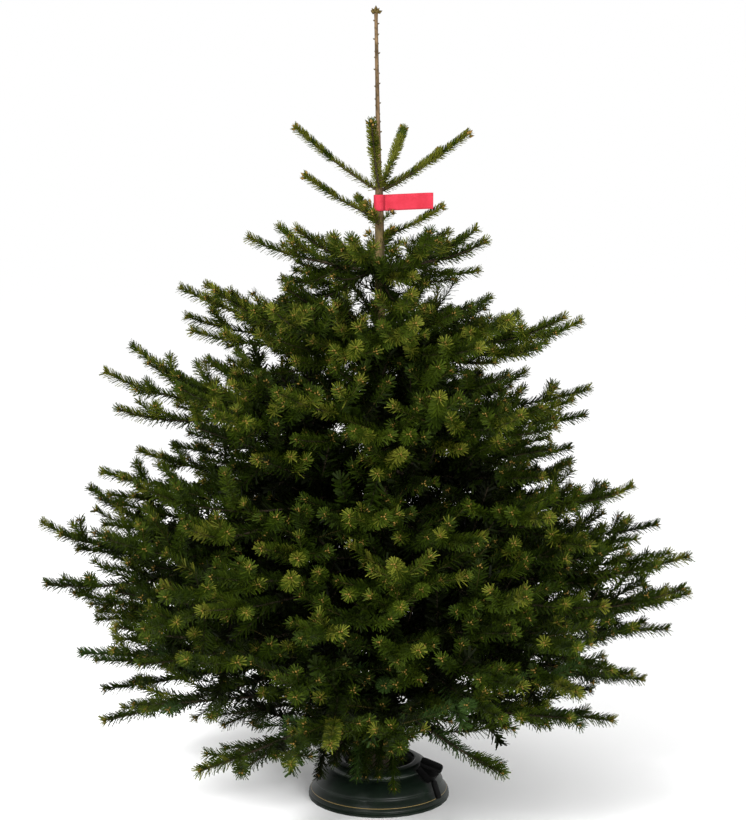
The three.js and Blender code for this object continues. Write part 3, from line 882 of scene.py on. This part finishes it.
def needle_pieces(table, masses, tip_reach):
    single = np.array(["_shoot_" in name for name in masses])
    mass_of = table[:, MASS].astype(int)
    age = table[:, AGE]
    out = reach(table[:, BEND]) / tip_reach[mass_of]
    years_back = np.minimum(age, np.where(out < SHADED_PART, 2, 1)).astype(int)
    longs = np.where(single[mass_of], TOP_NEEDLE_LENGTH, np.array(LENGTH_BY_AGE)[years_back])
    kind = colour_shoots(table, age, out)
    kind = np.where(single[mass_of], TIP, kind)
    crowding = INNER_DENSITY + OUTER_DENSITY * out
    density = np.where(age > 0, 1.0 / (1 + OLD_THINS * age), NEW_DENSITY) * crowding
    density = np.where((table[:, ORDER] == 0) & (age < 2), AXIS_DENSITY * density, density)
    widths = np.array(WIDTH_BY_AGE)[years_back]
    widths = np.where(single[mass_of], NEEDLE_WIDTH, widths)
    ends = np.tile(np.arange(SPRAYS) == SPRAYS - 1, len(table))
    chance = rng.random(len(table) * SPRAYS)
    shift = (chance < SPRAY_SHIFT / 2).astype(int) - (chance > 1 - SPRAY_SHIFT / 2)
    shift += ends & (np.repeat(table[:, TERMINAL], SPRAYS) > 0) & (chance < END_LIGHTER)
    batches = []
    for fine, count in ((True, TOP_COUNT), (False, CROWN_COUNT)):
        own = np.flatnonzero(single[mass_of] == fine)
        points, owner, t = clothe(table[own], count, longs[own], density[own], widths[own], fine)
        owner = own[owner]
        look = kind[owner]
        spray = SPRAYS * owner + np.minimum((t * SPRAYS).astype(int), SPRAYS - 1)
        look = np.where(look < GLAUCOUS, np.clip(look + shift[spray], 0, TIP), look)
        batches.append((points, mass_of[owner], look))
    points, owner = rosettes(table, longs)
    lit = rng.random(len(table)) < ROSETTE_LIT
    look = np.where(lit[owner] & (kind[owner] < FRESH), kind[owner] + 1, kind[owner])
    look = np.where((kind[owner] == MID) & lit[owner], TIP, look)
    batches.append((points, mass_of[owner], look))
    for number, numbers in enumerate(shared_out(batches, masses)):
        places, faces, looks, first = [], [], [], 0
        for points, mass, look in batches:
            chosen = np.isin(mass, numbers)
            own = points[chosen]
            corners = own.shape[1]
            index = first + np.arange(len(own) * corners).reshape(-1, corners)
            places.append(own.reshape(-1, 3))
            first += len(own) * corners
            outlines = [[0, 1, 2], [1, 4, 3, 2]] if corners == 5 else [[0, 1, 2, 3]]
            for outline in outlines:
                faces.append(index[:, outline])
                looks.append(look[chosen])
        name = f"needles_{number + 1}"
        piece = build(name, np.concatenate(places), faces, needle_materials, looks)
        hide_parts(*[masses[k] for k in numbers])
        print(name, "triangles", sum(len(part) * (part.shape[1] - 2) for part in faces))


def shared_out(batches, masses):
    """The masses in groups, each with no more triangles of needles than a piece may have."""
    groups, total = [[]], 0
    for number in range(len(masses)):
        own = sum((points.shape[1] - 2) * np.sum(mass == number) for points, mass, _ in batches)
        if total + own > PIECE_FACES:
            groups.append([])
            total = 0
        groups[-1].append(number)
        total += own
    return groups


# ---- wood ----


def twigs(table):
    """All side shoots as thin prisms, bent in the middle."""
    own = table[table[:, ORDER] > 0]
    along = unit(own[:, END] - own[:, START])
    level, up = sides_of(along)
    rings = []
    thick_foot, thick_tip = own[:, FOOT_RADIUS], own[:, TIP_RADIUS]
    for t, thick in ((0.0, thick_foot), (0.5, (thick_foot + thick_tip) / 2), (1.0, thick_tip)):
        centre, _ = shoot_curve(own, np.full(len(own), t))
        for side in range(TWIG_SIDES):
            angle = 2 * pi * side / TWIG_SIDES
            ring = cos(angle) * level + sin(angle) * up
            rings.append(centre + thick[:, None] * ring)
    points = np.stack(rings, axis=1)
    first = np.arange(len(own))[:, None] * (3 * TWIG_SIDES)
    faces = []
    for ring in range(2):
        for side in range(TWIG_SIDES):
            a = ring * TWIG_SIDES + side
            b = ring * TWIG_SIDES + (side + 1) % TWIG_SIDES
            faces.append(first + np.array([a, b, b + TWIG_SIDES, a + TWIG_SIDES]))
    faces = np.stack(faces, axis=1)
    kinds = np.repeat((own[:, AGE] > 1).astype(int), faces.shape[1])
    woods = [twig_young, twig_old]
    piece = build("twigs", points.reshape(-1, 3), [faces.reshape(-1, 4)], woods, [kinds])


def eggs(name, foot, way, length, girth, material):
    """A piece of pointed buds, eight faces each."""
    side_a, side_b = sides_of(way)
    belly = foot + BELLY * length[:, None] * way
    a, b = 0.5 * girth[:, None] * side_a, 0.5 * girth[:, None] * side_b
    corners = [foot, belly + a, belly + b, belly - a, belly - b, foot + length[:, None] * way]
    points = np.stack(corners, axis=1)
    first = np.arange(len(points))[:, None, None] * 6
    foot_faces = [[0, 2, 1], [0, 3, 2], [0, 4, 3], [0, 1, 4]]
    tip_faces = [[1, 2, 5], [2, 3, 5], [3, 4, 5], [4, 1, 5]]
    faces = (first + np.array(foot_faces + tip_faces)[None]).reshape(-1, 3)
    piece = build(name, points.reshape(-1, 3), [faces], [material], smooth=True)


def bud_rows(tip, along, size):
    """Feet, headings and sizes of a cluster of buds at each tip: three round one."""
    level, up = sides_of(along)
    feet, ways, sizes = [tip - BUD_SINK * along], [along], [MIDDLE_BUD * size]
    for k in range(3):
        turn = 2 * pi * k / 3
        ring = cos(turn) * level + sin(turn) * up
        feet.append(tip + (BUD_RING * ring - BUD_SINK * along) * (size / size.mean())[:, None])
        ways.append(unit(cos(BUD_TURN) * along + sin(BUD_TURN) * ring))
        sizes.append(size)
    return np.concatenate(feet), np.concatenate(ways), np.concatenate(sizes)


def buds(table, masses):
    ends = table[table[:, TERMINAL] > 0]
    top = np.array(["_shoot_" in name for name in masses])[ends[:, MASS].astype(int)]
    size = rng.uniform(0.85, 1.15, len(ends)) * np.where(top, TOP_BUD, 1.0)
    foot, way, size = bud_rows(ends[:, END], unit(ends[:, END] - ends[:, BEND]), size)
    eggs("buds", foot, way, BUD_LENGTH * size, BUD_GIRTH * size, bud_material)


def level_ways(turns):
    """Level headings at some bearings, in radians."""
    return np.stack([np.cos(turns), np.sin(turns), np.zeros(len(turns))], axis=1)


def leader_buds():
    """The spurs that stand off the leader, and the crown of buds at its tip."""
    heights = np.arange(SPURS_FROM, SPURS_TO, SPUR_STEP)
    heights = heights + rng.uniform(-SPUR_VARIES, SPUR_VARIES, len(heights)) * SPUR_STEP
    ring = level_ways(np.arange(len(heights)) * GOLDEN_TURN)
    foot = np.array([trunk_at(z) for z in heights])
    foot = foot + ring * np.array([SPUR_SINK * trunk_radius(z) for z in heights])[:, None]
    way = unit(ring + [0, 0, SPUR_RISE])
    length = rng.uniform(*SPUR_LENGTHS, len(heights))
    ring = level_ways(np.arange(CROWN_BUDS) * 2 * pi / CROWN_BUDS)
    tip = trunk_at(CROWN_HEIGHT)
    foot = np.concatenate([foot, tip + BUD_SINK * ring - [0, 0, CROWN_SINK], tip[None]])
    rise = np.where(np.arange(CROWN_BUDS) % 2 == 0, *CROWN_BUD_RISES)
    fan = ring + rise[:, None] * [0, 0, 1]
    way = np.concatenate([way, unit(fan), [[0.0, 0.0, 1.0]]])
    length = np.concatenate([length, np.full(CROWN_BUDS, CROWN_BUD_LENGTH), [CROWN_BUD_LENGTH]])
    girth = np.where(length == CROWN_BUD_LENGTH, CROWN_BUD_GIRTH, BUD_GIRTH)
    eggs("leader_buds", foot, way, length, girth, spur_material)


def limb_wood():
    parts = []
    for path, radii in limbs:
        rough = 1 + LIMB_RELIEF * rng.normal(0, 1, (len(path), LIMB_SIDES)).clip(-1.5, 1.5)
        parts.append(tube(path, radii, LIMB_SIDES, rough))
    points, faces = joined(parts)
    piece = build("boughs", points, [faces], [limb_bark], smooth=True)
    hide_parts(*[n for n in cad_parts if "_bough_" in n])


def bark_relief(angle, height, rates):
    round_rate, up_rate = rates
    spot = (round_rate * cos(angle), round_rate * sin(angle), height * up_rate)
    return noise.noise(Vector(spot))


def trunk_wood():
    """The stem with fissured bark low down, smooth bark above, and collars at its whorls."""
    low, high = RINGS[0, 0], CROWN_HEIGHT + 0.003
    heights = np.append(np.arange(low, high, TRUNK_STEP), high)
    path = np.array([trunk_at(height) for height in heights])
    radii = np.array([trunk_radius(height) for height in heights])
    radii = np.where(heights > SPURS_TO, np.minimum(radii, LEADER_RADIUS), radii)
    radii = np.where(heights > SPURS_FROM, LEADER_THIN * radii, radii)
    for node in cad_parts:
        if "_bough_1" in node:
            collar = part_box(node)[0].z
            radii *= 1 + COLLAR_SWELL * np.exp(-(((heights - collar) / COLLAR_HEIGHT) ** 2))
    angles = round_angles(TRUNK_SIDES)
    relief = np.empty((len(heights), TRUNK_SIDES))
    for row, height in enumerate(heights):
        for column, angle in enumerate(angles):
            coarse = bark_relief(angle, height, BARK_COARSE)
            relief[row, column] = coarse + 0.5 * bark_relief(angle, height, BARK_FINE)
    depth = BARK_RELIEF * np.where(heights < SMOOTH_FROM, 1.0, SMOOTH_PART)[:, None]
    points, faces = tube(path, radii, TRUNK_SIDES, 1 + depth * relief)
    ends = len(points)
    points = np.concatenate([points, path[[0, -1]]])
    index = np.arange(TRUNK_SIDES)
    after = np.roll(index, -1)
    last = ends - TRUNK_SIDES
    foot_cap = np.stack([after, index, np.full(TRUNK_SIDES, ends)], axis=1)
    top_cap = np.stack([last + index, last + after, np.full(TRUNK_SIDES, ends + 1)], axis=1)
    caps = np.concatenate([foot_cap, top_cap])
    kinds = [np.digitize(points[part[:, 0], 2], STEM_LOOKS) for part in (faces, caps)]
    woods = [bark_material, stem_bark, leader_bark]
    piece = build("trunk_bark", points, [faces, caps], woods, kinds, smooth=True)
    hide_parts("trunk")


# ---- stand ----


def outline_of(node):
    """The outer outline of a turned CAD node, from its foot up, as radius and height."""
    places, _ = places_of(node)
    heights = np.unique(places[:, 2].round(4))
    rows = [(reach(places[np.abs(places[:, 2] - h) < 1e-4]).max(), h) for h in heights]
    return np.array(rows)


def rounded(outline, times=2):
    """An outline with its corners cut back, more finely each time."""
    for _ in range(times):
        a, b = outline[:-1], outline[1:]
        cut = np.stack([KEPT * a + CORNER_CUT * b, CORNER_CUT * a + KEPT * b], axis=1).reshape(-1, 2)
        outline = np.concatenate([outline[:1], cut, outline[-1:]])
    return outline


def turned_piece(name, outline, material, node):
    """A closed outline turned round the upright axis, in place of a CAD node or of none."""
    angles = round_angles(DOME_SIDES)
    radius, height = outline[:, :1], outline[:, 1:]
    rings = [radius * np.cos(angles), radius * np.sin(angles), height + np.zeros(DOME_SIDES)]
    points = np.stack(rings, axis=-1).reshape(-1, 3)
    index = np.arange(len(points)).reshape(len(outline), DOME_SIDES)
    faces = faces_between(np.concatenate([index, index[:1]]))
    piece = build(name, points, [faces], [material], smooth=True)
    if node:
        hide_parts(node)


def stand():
    outer = outline_of("stand_shell")
    outer = outer[outer[:, 0] > DOME_OPENING]
    fine = rounded(outer)
    inner = fine[::-1].copy()
    inner[:, 0] -= DOME_WALL
    turned_piece("stand_dome", np.concatenate([fine, inner]), enamel, "stand_shell")
    angles = round_angles(LINE_SIDES)
    ring = LINE_RADIUS * np.stack([np.cos(angles), np.sin(angles)], axis=1)
    lines = (("stand_line_low", LOW_LINE, gold), ("stand_line_high", HIGH_LINE, silver))
    for name, height, look in lines:
        radius = np.interp(height, fine[:, 1], fine[:, 0])
        turned_piece(name, [radius, height] + ring, look, None)


def soften(node, name):
    """A copy of a CAD node with its edges rounded."""
    piece = placed(name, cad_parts[node].data.copy())
    weld = piece.modifiers.new("weld", "WELD")
    weld.merge_threshold = WELD_NEAR
    bevel = piece.modifiers.new("bevel", "BEVEL")
    bevel.width = EDGE_WIDTH
    bevel.segments = EDGE_STEPS
    bevel.limit_method = "ANGLE"
    bevel.angle_limit = EDGE_ANGLE
    depsgraph = bpy.context.evaluated_depsgraph_get()
    made = bpy.data.meshes.new_from_object(piece.evaluated_get(depsgraph))
    piece.modifiers.clear()
    piece.data = made
    made.materials.clear()
    made.materials.append(black_plastic)
    for polygon in made.polygons:
        polygon.use_smooth = True
    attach(piece, "root")
    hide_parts(node)


def tag():
    """The paper flag, from its CAD strip, thinner, curled and finely divided."""
    low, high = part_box("tag")
    angles = np.linspace(TAG_GAP, 2 * pi - TAG_GAP, TAG_RING_STEPS)
    loop = np.stack([TAG_RING * np.cos(angles), TAG_RING * np.sin(angles)], axis=1)
    out = np.linspace(TAG_RING, high.x - TAG_SHORTER, TAG_STEPS)
    span = high.x - TAG_RING
    wave = TAG_WAVE * np.sin(pi * (out - TAG_RING) / span)
    flag = np.stack([out, wave], axis=1)
    lines = np.concatenate([flag[::-1] + [0, TAG_APART], loop, flag + [0, -TAG_APART]])
    rows = np.linspace(low.z, high.z, TAG_ROWS)
    far_out = np.clip(lines[:, 0] / span, 0, 1)
    lift = TAG_LIFT * far_out - TAG_LOW
    points = []
    for row, height in enumerate(rows):
        part = row / (len(rows) - 1)
        curl = TAG_CURL * sin(TAG_CURL_TURN * part) * far_out**2
        columns = [lines[:, 0], lines[:, 1] + curl, np.full(len(lines), height) + lift]
        points.append(np.stack(columns, axis=1))
    points = np.array(points)
    index = np.arange(points.shape[0] * points.shape[1]).reshape(points.shape[:2])
    faces = np.stack([index[:-1, :-1], index[:-1, 1:], index[1:, 1:], index[1:, :-1]], axis=-1)
    piece = build("tag_flag", points.reshape(-1, 3), [faces.reshape(-1, 4)], [tag_paper], smooth=True)
    thick = piece.modifiers.new("thickness", "SOLIDIFY")
    thick.thickness = TAG_THICK
    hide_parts("tag")


# ---- stage ----


def stage():
    mesh = bpy.data.meshes.new("floor")
    signs = ((-1, -1), (1, -1), (1, 1), (-1, 1))
    corners = [(x * FLOOR_HALF, y * FLOOR_HALF, -FLOOR_DROP) for x, y in signs]
    mesh.from_pydata(corners, [], [(0, 1, 2, 3)])
    floor = placed("floor", mesh)
    mesh.materials.append(plain("floor_paper", (255, 255, 255), 1.0, 0.0))
    world = bpy.data.worlds.new("studio")
    world.use_nodes = True
    background = world.node_tree.nodes["Background"].inputs
    background["Color"].default_value = (1, 1, 1, 1)
    background["Strength"].default_value = 1.0
    bpy.context.scene.world = world


def light(name, place, aim, size, power):
    lamp = bpy.data.lights.new(name, "AREA")
    lamp.shape = "DISK"
    lamp.size = size
    lamp.energy = power
    thing = placed(name, lamp)
    thing.location = place
    thing.rotation_euler = (Vector(aim) - Vector(place)).to_track_quat("-Z", "Y").to_euler()


def camera():
    lens = bpy.data.cameras.new("camera")
    lens.sensor_width = SENSOR
    lens.lens = LENS
    lens.clip_end = 100
    thing = placed("camera", lens)
    thing.location = (CAMERA_SIDE, -CAMERA_BACK, CAMERA_HEIGHT)
    thing.rotation_euler = (pi / 2 - CAMERA_DOWN, 0, 0)
    bpy.context.scene.camera = thing


# ---- assembly ----

camera()
stage()
for lamp in LAMPS:
    light(*lamp)
bpy.context.scene.view_settings.view_transform = "Standard"

masses = grow_all()
table = np.array(shoots, dtype=float)
tip_reach = np.array([reach(places_of(name)[0]).max() for name in masses])
print("shoots", len(table), "ends", int(table[:, TERMINAL].sum()), "limbs", len(limbs))
needle_pieces(table, masses, tip_reach)
twigs(table)
buds(table, masses)
leader_buds()
limb_wood()
trunk_wood()
stand()
for node, name in (
    ("lever_housing", "lever_block"),
    ("foot_pedal", "lever_paddle"),
    ("release_latch", "lever_latch"),
):
    soften(node, name)
for name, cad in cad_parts.items():
    if name in ("stand_base", "stand_bowl") or name.startswith("stand_claw"):
        cad.data.materials.clear()
        cad.data.materials.append(enamel if name == "stand_base" else enamel_dark)
tag()
